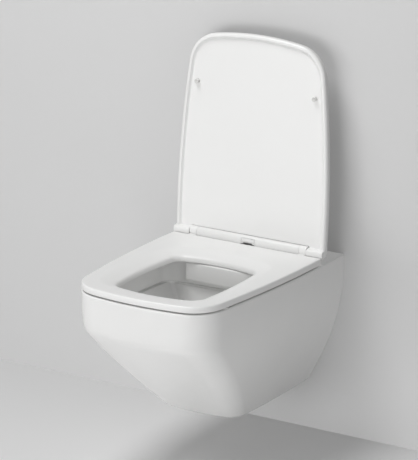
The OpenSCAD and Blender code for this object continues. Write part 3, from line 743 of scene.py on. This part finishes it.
def bowl_outside():
    """The whole casting without its hollows, in closer steps where the crease turns."""
    b = settings().bowl
    bottom = b.top - b.height
    below = crease_height() - 0.016
    above = crease_height() + 0.020
    foot = [(bottom + b.foot_edge * (1 - math.cos(a)), b.foot_edge * (1 - math.sin(a))) for a in QUARTER]
    body = [(z, 0) for z in steps_between(bottom + b.foot_edge, below, 14) + steps_between(below, above, 12)
            + steps_between(above, b.top - b.edge, 6)]
    rim = [(b.top - b.edge * (1 - math.sin(a)), b.edge * (1 - math.cos(a))) for a in QUARTER[1:]]
    return loft("bowl_casting", [bowl_loop(z, inset, 0) for z, inset in foot + body + rim])


def bowl_hollow():
    """The space inside the casting, behind which the flange stands on the wall."""
    b = settings().bowl
    floor = b.top - b.height + b.wall
    low = [(z, b.under_wall) for z in [floor] + steps_between(floor, crease_height(), 8)]
    high = [(z, b.wall) for z in (b.top - b.band + b.wall, b.top - b.deck)]
    return loft("hollow", [bowl_loop(z, inset, -b.flange) for z, inset in low + high])


def flange_opening():
    """The opening that leaves a flange round the casting's back."""
    b = settings().bowl
    low = b.top - b.height + b.flange_width
    heights = [low] + steps_between(low, b.top - b.deck - 2 * PAST, 8)
    right = [(mix(b.width / 2, b.foot_width / 2, taper(z)) - b.flange_width, PAST, z) for z in heights]
    left = [(-x, y, z) for x, y, z in reversed(right)]
    return prism("opening", right + left, (0, -b.flange - 2 * PAST, 0))


def basin_loop(height, half_width, back, front, corner, grow):
    """The basin's outline at a height."""
    bow = settings().basin.bow + grow
    return round_box_loop(half_width + grow, back - grow, front + grow, corner + grow, bow, bow, height)


def basin_solid(name, grow):
    """The space that the water fills, or with grow the outside of the basin's wall."""
    b, n = groups("bowl", "basin")
    ledge = b.top - n.ledge
    half = n.width / 2
    # The basin's wall is a little thinner below than at its sides.
    sink = grow * 0.9
    loops = []
    steps = 16
    for k in range(steps + 1):
        up = k / steps
        wide = up ** n.funnel_power
        # The sump's corners are nearly as round as it is wide, the funnel's are small.
        corner = mix(n.sump_radius * 0.92, n.valley, min(wide * 3, 1))
        loops.append(basin_loop(mix(n.sump_floor, ledge - n.funnel_drop, up) - sink,
                                mix(n.sump_radius, half - n.step - n.funnel_side, wide),
                                mix(n.sump - n.sump_radius, n.back + 0.005, wide),
                                mix(n.sump + n.sump_radius, n.front - n.funnel_front, wide), corner, grow))
    # The groove under the wall: height above the ledge, way inwards and share of the wall's corner radius.
    groove = [(-0.0035, 0.0106, 0.2), (-0.0016, 0.0092, 0.25), (-0.0008, 0.0012, 0.9), (0.0012, 0.0010, 1),
              (0.0026, 0.0036, 1), (0.006, 0.0034, 1)]
    loops += [basin_loop(ledge + up - sink, half - inwards, n.back + inwards * 0.3, n.front - inwards,
                         mix(n.valley, n.corner, share), grow) for up, inwards, share in groove]
    if grow:
        loops.append(basin_loop(b.top - PAST, half, n.back, n.front, n.corner, grow))
    else:
        loops += [basin_loop(z, half - inwards, n.back + inwards * 0.5, n.front - inwards, n.corner, 0)
                  for z, inwards in ((ledge + 0.02, 0.0024), (b.top - n.mouth, 0))]
        loops += [basin_loop(b.top - n.mouth * (1 - math.sin(a)), half, n.back, n.front, n.corner,
                             n.mouth * (1 - math.cos(a))) for a in QUARTER[1:6]]
        loops.append(basin_loop(b.top + PAST, half, n.back, n.front, n.corner, n.mouth * 1.02))
    return loft(name, loops)


def trap(name, grow):
    """Passage from the sump over the weir to the outlet, or with grow its outside."""
    n = settings().basin
    pipe = n.trap
    end_pipe = n.outlet - 0.0025
    spigot = n.spigot_length
    # Distance from the wall, share of the way up to the weir or down from it, and radius.
    up = [(n.sump + 0.018, 0.03, pipe - 0.010), (n.sump + 0.008, 0.01, pipe - 0.002)]
    up += [(n.sump - past, share, pipe) for past, share in ((0.010, 0), (0.032, 0), (0.052, 0.08))]
    up += [(n.weir + ahead, share, pipe) for ahead, share in
           ((0.065, 0.25), (0.049, 0.48), (0.033, 0.72), (0.018, 0.9), (0, 1))]
    down = [(n.weir - 0.019, 0.04, pipe + 0.003), (spigot + 0.024, 0.4, mix(pipe, end_pipe, 0.5)),
            (spigot + 0.012, 0.78, mix(pipe, end_pipe, 0.82)), (spigot, 0.95, end_pipe),
            (spigot - 0.014, 0.98, end_pipe), (spigot - 0.036, 0.98, end_pipe)]
    stations = [(-y, mix(n.sump_floor, n.weir_height, share), radius) for y, share, radius in up]
    stations += [(-y, mix(n.weir_height, n.outlet_height, share), radius) for y, share, radius in down]
    curve = bpy.data.curves.new(name, "CURVE")
    curve.dimensions = "3D"
    curve.bevel_depth = 1.0
    curve.bevel_resolution = 10
    curve.resolution_u = 5
    curve.use_fill_caps = True
    line = curve.splines.new("BEZIER")
    line.bezier_points.add(len(stations) - 1)
    for point, (y, z, radius) in zip(line.bezier_points, stations):
        point.co = (0, y, z)
        point.radius = radius + grow
        point.handle_left_type = point.handle_right_type = "AUTO"
    piece = bpy.data.objects.new(name, curve)
    bpy.context.collection.objects.link(piece)
    only(piece)
    bpy.ops.object.convert(target="MESH")
    piece = bpy.context.object
    bpy.ops.object.mode_set(mode="EDIT")
    weld(WELD)
    end()
    return piece


def channel(name, radius, start, past):
    """Round run of the flush channel, from before the inlet's end to past the basin's back."""
    n = settings().basin
    run = Vector((0, n.inlet_depth - n.back, n.channel_rise))
    ahead = run.normalized()
    begin_at = Vector((0, -n.inlet_depth, n.inlet_height)) - ahead * start
    return cylinder(name, radius, begin_at, run + ahead * (start + past))


class TOILET_OT_bowl(bpy.types.Operator):
    """Model the ceramic bowl with its basin, trap and waterways"""

    bl_idname = "toilet.bowl"
    bl_label = "Bowl"

    def execute(self, context):
        b, n, h = groups("bowl", "basin", "hinge")
        bowl = bowl_outside()
        limit = copy_of(bowl)
        cut(bowl, bowl_hollow(), flange_opening())
        walls = add(basin_solid("basin_wall", n.thickness), trap("trap_wall", n.pipe_wall))
        combine(walls, "INTERSECT", limit)
        depth = n.inlet_depth + n.pipe_wall
        outlet = (0, -n.spigot_length, n.outlet_height)
        along = (0, n.spigot_length, 0)
        pipes = cylinder("inlet_wall", n.inlet + n.pipe_wall, (0, -depth, n.inlet_height), (0, depth, 0))
        add(pipes, channel("channel_wall", n.channel + n.pipe_wall, 0, 2 * PAST),
            cylinder("spigot", n.spigot, outlet, along))
        add(bowl, walls, pipes)
        start = (0, -n.inlet_depth, n.inlet_height)
        cut(bowl, basin_solid("basin_space", 0), trap("trap_space", 0),
            cylinder("inlet_bore", n.inlet, start, (0, n.inlet_depth + PAST, 0)),
            channel("channel_bore", n.channel, 0.006, 0.010),
            cylinder("outlet_bore", n.outlet, (0, n.pipe_wall - n.spigot_length, n.outlet_height), along))
        for side in (-1, 1):
            place = (side * h.screw_spacing / 2, -h.back, b.top - b.deck - PAST)
            cut(bowl, cylinder("deck_hole", h.deck_hole, place, (0, 0, b.deck + 2 * PAST)))
        smooth(bowl, 32)
        weigh(bowl)
        finish_piece(bowl, "bowl_china", "root", glazed_vitreous_china(), "bowl")
        return {"FINISHED"}


class TOILET_OT_distributor(bpy.types.Operator):
    """Model the flush distributor at the basin's back"""

    bl_idname = "toilet.distributor"
    bl_label = "Flush Distributor"

    def execute(self, context):
        n, d = groups("basin", "distributor")
        back = -n.back - d.gap
        front = back - d.depth
        middle = (front + back) / 2
        top = d.bottom + d.height
        half = d.width / 2
        reach = 0.014
        box = soften(block("distributor_box", (-half, front, d.bottom), (half, back, top)), 0.004, 6)
        # The plug stands in the channel with 0.3 mm of play, and the flush water comes in through its bore.
        plug = combine(channel("distributor_plug", n.channel - 0.0003, 0, d.depth), "INTERSECT",
                       block("plug_reach", (-n.channel, middle, d.bottom - reach),
                             (n.channel, back + reach, top + reach)))
        add(box, plug)
        bore = combine(channel("distributor_bore", n.channel - d.shell, 0, d.depth - 2 * PAST), "INTERSECT",
                       block("bore_reach", (-n.channel, middle, d.bottom),
                             (n.channel, back + n.back, top + reach)))
        slot = block("distributor_slot", (-half - PAST, front + d.shell, d.bottom + d.shell),
                     (half + PAST, back - d.shell, top - d.shell))
        cut(box, bore, slot)
        smooth(box, 32)
        finish_piece(box, "flush_distributor_panel", "root", pressed_urea(),
                     "flush_distributor")
        return {"FINISHED"}


def opening_loop(grow, height):
    """Outline of the seat's opening."""
    s = settings().seat
    return round_box_loop(s.opening / 2 + grow, s.opening_back - grow, s.opening_front + grow,
                          s.opening_corner + grow, s.opening_side + grow, s.opening_end + grow, height)


def seat_loop(inset, height):
    """Outline of the seat."""
    b, s = groups("bowl", "seat")
    return plan_loop(b.width / 2, b.projection, b.corner_radius, s.inset + inset, s.back - inset, height)


class TOILET_OT_seat(bpy.types.Operator):
    """Model the seat ring with its soft inner edge and its knuckles"""

    bl_idname = "toilet.seat"
    bl_label = "Seat"

    def execute(self, context):
        b, s, h = groups("bowl", "seat", "hinge")
        low = b.top + s.lift
        axis_z = b.top + h.rise
        thick = s.thickness
        # Outer edge of the seat's section: way inwards, height and rounding.
        outside = rounded([(0.010, 0, 0), (0, 0, 0.0022), (0, thick, 0.0034), (0.010, thick, 0)])[1:-1]
        seat = loft("seat_moulding", [seat_loop(inset, low + z) for inset, z in outside], BORDER)
        skirt = loft("lip", [opening_loop(s.lip_thickness - inset, z) for inset, z in
                             ((0.0012, low - s.lip), (0, low - s.lip + 0.0012), (0, low + 0.004))])
        add(seat, skirt)
        # The lip's lower edge, and the soft edge above it as shares of its width and of the thickness.
        under = [(0.0016, -s.lip - 0.0005), (0.0012, -s.lip), (0.0004, 0.0004 - s.lip), (0, 0.0013 - s.lip)]
        shares = [(0, -0.45), (0.006, -0.30), (0.018, -0.12), (0.045, 0.07), (0.085, 0.20), (0.15, 0.32),
                  (0.25, 0.435), (0.4, 0.59), (0.55, 0.73), (0.7, 0.852), (0.82, 0.93), (0.92, 0.978),
                  (1.0, 0.998), (1.04, 1.02), (1.04, 1.2)]
        profile = under + [(s.roll * across, thick * up) for across, up in shares]
        cut(seat, loft("opening", [opening_loop(grow, low + z) for grow, z in profile]))
        x0 = h.bar_width / 2 + h.side_gap
        x1 = x0 + s.knuckle
        for side in (-1, 1):
            knuckle = cylinder("knuckle", h.radius, (side * x0, -h.back, axis_z), (side * s.knuckle, 0, 0))
            # A web joins the knuckle to the seat, and a notch beside it leaves room for the lid's knuckle.
            add(knuckle, side_block("web", side, x0, x1, (s.back - 0.006, axis_z - 0.0125),
                                    (-h.back, axis_z - 0.0052)))
            soften(knuckle, 0.0006, 2, 50)
            cut(seat, side_block("notch", side, x1 + h.side_gap, b.width, (s.back - 0.0032, low - PAST),
                                 (s.back + PAST, low + thick + PAST)))
            add(seat, knuckle)
        reach = (s.knuckle + 2 * PAST, 0, 0)
        cut(seat, cylinder("shaft_bore", h.shaft_bore, (-x1 - PAST, -h.back, axis_z), reach),
            cylinder("bush_bore", h.bush, (x0 - PAST, -h.back, axis_z), reach))
        smooth(seat, 32)
        weigh(seat)
        finish_piece(seat, "seat_ring_moulding", "seat", pressed_urea(), "seat_ring")
        return {"FINISHED"}


def lid_loop(inset, height):
    """Outline of the lid, 0.3 mm inside the bowl's front and 16 mm past the hinge axis, where it is cut."""
    b = settings().bowl
    back = 0.016 - settings().hinge.back
    return plan_loop(b.width / 2, b.projection - 0.0003, b.corner_radius, inset, back - inset, height)


def swing_open(piece):
    """Turns a piece drawn on the closed lid about the hinge axis, to where the lid stands."""
    b, h = groups("bowl", "hinge")
    only(piece)
    bpy.ops.transform.rotate(value=settings().lid.angle, orient_axis="X",
                             center_override=(0, -h.back, b.top + h.rise))
    bpy.ops.object.transform_apply(location=True, rotation=True, scale=True)


class TOILET_OT_lid(bpy.types.Operator):
    """Model the lid with its raised rim and its knuckles, closed, and swing it open"""

    bl_idname = "toilet.lid"
    bl_label = "Lid"

    def execute(self, context):
        b, s, t, h = groups("bowl", "seat", "lid", "hinge")
        axis_z = b.top + h.rise
        low = b.top + s.lift + s.thickness + t.gap
        high = low + t.thickness
        # Section of the lid from its inner face round the rim: way inwards, height and rounding.
        rim = rounded([(0.020, t.lip, 0), (0.0122, t.lip, 0.006), (0.008, 0.0002, 0.0022), (0, 0, 0.006),
                       (0, t.thickness, 0.0026), (0.010, t.thickness, 0)])[1:-1]
        lid = loft("lid_moulding", [lid_loop(inset, low + z) for inset, z in rim], BORDER)
        x0 = h.bar_width / 2 + h.side_gap + s.knuckle + t.seam
        x1 = b.width / 2 + PAST
        # The rim runs round three sides only, so the inner face reaches down to the hinge bar.
        bar_room = (-x0, -h.back - h.radius - t.back_gap, low - PAST)
        cut(lid, block("tail", (-x1, -h.back - 0.004, low - PAST), (x1, 0, high + PAST)),
            block("bar_room", bar_room, (x0, 0, high + PAST)))
        soften(lid, 0.0005, 2, 60)
        # Side view of a knuckle from the hinge axis, just inside the lid's faces: way back, height, rounding.
        top = high - axis_z - 0.0003
        face = low + t.lip - axis_z + 0.0003
        side_view = rounded([(-0.0145, face, 0), (-0.0145, top, 0), (0.001, top, 0.008),
                             (0.0085, 0.002, 0.008), (0.0102, -0.0115, 0.004), (-0.0052, -0.0116, 0.0048),
                             (-0.0080, face, 0.0012)])
        for side in (-1, 1):
            knuckle = prism("lid_knuckle", [(side * x0, -h.back + y, axis_z + z) for y, z in side_view],
                            (side * (x1 - x0), 0, 0))
            trim = loft("lid_trim", [plan_loop(b.width / 2, b.projection, b.corner_radius, 0, 0, z)
                                     for z in (axis_z - 0.05, axis_z + 0.05)])
            combine(knuckle, "INTERSECT", trim)
            soften(knuckle, 0.0009, 3, 50)
            add(lid, knuckle)
        reach = h.shaft_end - x0 + PAST
        cut(lid, cylinder("shaft_bore", h.shaft_bore, (x0 - PAST, -h.back, axis_z), (reach, 0, 0)),
            cylinder("bush_bore", h.bush, (PAST - x0, -h.back, axis_z), (-reach, 0, 0)))
        swing_open(lid)
        smooth(lid, 32)
        weigh(lid)
        finish_piece(lid, "lid_moulding_open", "lid", pressed_urea(), "lid")
        return {"FINISHED"}


def turned(name, profile, centre):
    """Round solid: a profile (radius, height) spun about a vertical line."""
    piece = begin(name)
    x, y = centre
    trace([(x + across, y, up) for across, up in profile])
    bpy.ops.mesh.select_all(action="SELECT")
    bpy.ops.mesh.spin(steps=48, angle=2 * math.pi, center=(x, y, 0), axis=DOWN)
    weld(FINE_WELD)
    end()
    return piece


def join(pieces):
    """Makes one piece of several."""
    only(pieces[0])
    for piece in pieces:
        piece.select_set(True)
    bpy.ops.object.join()
    return pieces[0]


class TOILET_OT_buffers(bpy.types.Operator):
    """Model the soft buffers of seat and lid"""

    bl_idname = "toilet.buffers"
    bl_label = "Buffers"

    def execute(self, context):
        b, s, t, h = groups("bowl", "seat", "lid", "hinge")
        # The lid's buffers stay 0.3 mm off the seat, the seat's 0.1 mm off the bowl.
        low = b.top + s.lift + s.thickness + 0.0003
        high = b.top + s.lift + s.thickness + t.gap + t.lip
        r = t.buffer_radius
        # A puck with a round edge and a shallow dish in its face.
        puck = rounded([(0, low + 0.0007, 0), (r * 0.55, low + 0.0006, 0.003), (r * 0.72, low, 0.0006),
                        (r, low, 0.0011), (r, high, 0)]) + [(0, high)]
        lid_buffers = join([turned("lid_puck", puck, (side * t.buffer_spacing / 2, -h.back - t.buffer_reach))
                            for side in (-1, 1)])
        swing_open(lid_buffers)
        smooth(lid_buffers)
        finish_piece(lid_buffers, "lid_buffer_pucks", "lid", moulded_elastomer(), "lid_buffers")
        low = b.top + 0.0001
        high = b.top + s.lift
        r = s.buffer_radius
        puck = rounded([(0, low, 0), (r, low, 0.0009), (r, high, 0)]) + [(0, high)]
        corner, far_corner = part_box("seat_buffers")
        seat_buffers = join([turned("seat_puck", puck, (side * (far_corner.x - r), y))
                             for side in (-1, 1) for y in (corner.y + r, far_corner.y - r)])
        smooth(seat_buffers)
        finish_piece(seat_buffers, "seat_buffer_pucks", "seat", moulded_elastomer(), "seat_buffers")
        return {"FINISHED"}


def dressed(node, width, finish):
    """A merged copy of a node, which stands for it, with its edges rounded if a width is given."""
    source = frame["nodes"][node]
    piece = bpy.data.objects.new(node + "_finished", source.data.copy())
    bpy.context.collection.objects.link(piece)
    only(piece)
    bpy.ops.object.mode_set(mode="EDIT")
    weld(FINE_WELD)
    bpy.ops.mesh.dissolve_limited(angle_limit=math.radians(1))
    bpy.ops.object.mode_set(mode="OBJECT")
    bpy.ops.mesh.customdata_custom_splitnormals_clear()
    if width:
        soften(piece, width, 2, 42)
    smooth(piece)
    return finish_piece(piece, piece.name, source["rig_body"], finish, node)


class TOILET_OT_fittings(bpy.types.Operator):
    """Dress the hinge, the release mechanism and the wall fixing"""

    bl_idname = "toilet.fittings"
    bl_label = "Fittings"

    def execute(self, context):
        h = settings().hinge
        axis_z = settings().bowl.top + h.rise
        low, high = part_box("release_button")
        middle = (low.x + high.x) / 2
        front = -h.back - h.radius
        # The seam round the button shows 2.2 mm deep, and the thumb scoop lies just below the front's middle.
        bar = dressed("hinge_bar", 0.0005, moulded_abs())
        frame_low = (low.x - h.button_seam, front - PAST, axis_z - 0.004)
        frame_high = (high.x + h.button_seam, front + 0.0022, high.z + h.button_seam)
        smooth(cut(bar, block("button_frame", frame_low, frame_high)))
        dressed("hinge_bar_base", 0.0002, moulded_abs())
        button = dressed("release_button", 0.0003, moulded_abs())
        scoop_start = (middle - h.scoop / 2, front - 0.0029, axis_z - 0.0065)
        smooth(cut(button, cylinder("thumb_scoop", 0.006, scoop_start, (h.scoop, 0, 0), 48)))
        # The width of each node's edge rounding, by finish. The spring's wire has no edges.
        for finish, slot, widths in (
                (pressed_urea, "seat_plastic", {"hinge_base_left": 0.0003, "hinge_base_right": 0.0003}),
                (zinc_plated_steel, "steel", {
                    "wall_bracket_left": 0.0004, "wall_bracket_right": 0.0004, "clamp_sleeves": 0.0003,
                    "hinge_screws": 0.0001, "seat_damper_shaft": 0.0003, "lid_damper_shaft": 0.0003,
                    "button_spring": 0}),
                (moulded_nylon, "nylon", {
                    "deck_bushes": 0.0003, "latch_left": 0.0002, "latch_right": 0.0002,
                    "seat_damper_body": 0.0004, "lid_damper_body": 0.0004, "ring_bush": 0.0002,
                    "lid_bush": 0.0002}),
                (moulded_elastomer, "rubber", {"hinge_gaskets": 0.0002})):
            for node, width in widths.items():
                dressed(node, width, finish())
        # The button travels 3 mm against the spring. The spring gets a mesh of its own, not shared with its
        # node.
        spring = bpy.data.objects["button_spring_finished"]
        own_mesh(spring)
        return {"FINISHED"}


# Studio

def area_light(name, place, target, size, power):
    """Round soft light that faces a target."""
    bpy.ops.object.light_add(type="AREA", location=place)
    lamp = bpy.context.object
    lamp.name = name
    lamp.rotation_euler = (Vector(target) - Vector(place)).to_track_quat("-Z", "Y").to_euler()
    lamp.data.shape = "DISK"
    lamp.data.size = size
    lamp.data.energy = power


def plain_plane(name, scale, place, turn):
    """Flat part of the stage."""
    bpy.ops.object.select_all(action="DESELECT")
    bpy.ops.mesh.primitive_plane_add(size=1, location=place, rotation=turn)
    bpy.context.object.scale = scale
    plane = settle(name)
    return plane


class TOILET_OT_stage(bpy.types.Operator):
    """Set up the floor, the lights and the camera"""

    bl_idname = "toilet.stage"
    bl_label = "Stage"

    def execute(self, context):
        scene = context.scene
        scene.view_settings.view_transform = "Standard"
        floor_height = -0.320
        wall_height = 4
        floor = plain_plane("studio_floor", (60, 60, 1), (0, 0, floor_height), (0, 0, 0))
        floor.data.materials.append(studio_floor_paint())
        wall = plain_plane("studio_wall", (8, wall_height, 1), (0, 0.0006, floor_height + wall_height / 2),
                           (math.pi / 2, 0, 0))
        wall.data.materials.append(studio_wall_paint())
        # The wall only receives light, so that it doesn't change the light on the object.
        wall.visible_diffuse = wall.visible_glossy = wall.visible_transmission = wall.visible_shadow = False

        world = scene.world or bpy.data.worlds.new("studio")
        scene.world = world
        world.use_nodes = True
        tree = world.node_tree
        tree.nodes.clear()
        # The background shows its own colour where it is seen, and lights the scene evenly.
        path = add_node(tree, "ShaderNodeLightPath").outputs
        seen = path["Is Camera Ray"]
        for ray in ("Is Glossy Ray", "Is Transmission Ray"):
            seen = add_node(tree, "ShaderNodeMath", {0: seen, 1: path[ray]}, operation="MAXIMUM").outputs[0]
        light = add_node(tree, "ShaderNodeBackground", {"Color": (1, 1, 1, 1), "Strength": 0.24})
        backdrop = linear(settings().finish.backdrop)
        shown = add_node(tree, "ShaderNodeBackground", {"Color": backdrop, "Strength": 1.0})
        both = add_node(tree, "ShaderNodeMixShader", {0: seen, 1: light.outputs[0], 2: shown.outputs[0]})
        add_node(tree, "ShaderNodeOutputWorld", {"Surface": both.outputs[0]})

        middle = (0, -0.25, 0.1)
        area_light("top_light", (-0.7, -1.0, 2.9), middle, 1.4, 44)
        area_light("front_light", (0.2, -3.2, 0.1), middle, 1.8, 27)
        area_light("low_left_light", (-1.2, -3.0, -0.1), middle, 1.2, 12)
        area_light("right_light", (2.8, -1.6, 1.0), middle, 1.6, 5)

        bpy.ops.object.camera_add(location=(3.2743807, -5.3369705, 2.0365309),
                                  rotation=[math.radians(a) for a in (72.8384, 0.1716, 32.6658)])
        camera = context.object
        camera.name = "camera"
        camera.data.lens = 243.67
        scene.camera = camera
        return {"FINISHED"}


class TOILET_PT_panel(bpy.types.Panel):
    """Buttons that model each group and set up the stage"""

    bl_idname = "TOILET_PT_panel"
    bl_label = "Wall Hung Toilet"
    bl_space_type = "VIEW_3D"
    bl_region_type = "UI"
    bl_category = "Toilet"

    def draw(self, context):
        for operator in OPERATORS:
            self.layout.operator(operator.bl_idname)


OPERATORS = (TOILET_OT_bowl, TOILET_OT_distributor, TOILET_OT_seat, TOILET_OT_lid, TOILET_OT_buffers,
             TOILET_OT_fittings, TOILET_OT_stage)
CLASSES = (BowlSizes, BasinSizes, SeatSizes, LidSizes, HingeSizes, DistributorSizes, Finishes, ToiletSettings,
           *OPERATORS, TOILET_PT_panel)


def register():
    """Adds the classes and the settings."""
    for cls in CLASSES:
        bpy.utils.register_class(cls)
    bpy.types.Scene.toilet = PointerProperty(type=ToiletSettings)


def unregister():
    """Removes them again."""
    del bpy.types.Scene.toilet
    for cls in reversed(CLASSES):
        bpy.utils.unregister_class(cls)


def main():
    """Models everything."""
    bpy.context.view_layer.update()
    register()
    bpy.ops.toilet.stage()
    bpy.ops.toilet.bowl()
    bpy.ops.toilet.distributor()
    bpy.ops.toilet.seat()
    bpy.ops.toilet.lid()
    bpy.ops.toilet.buffers()
    bpy.ops.toilet.fittings()


if __name__ == "__main__":
    main()
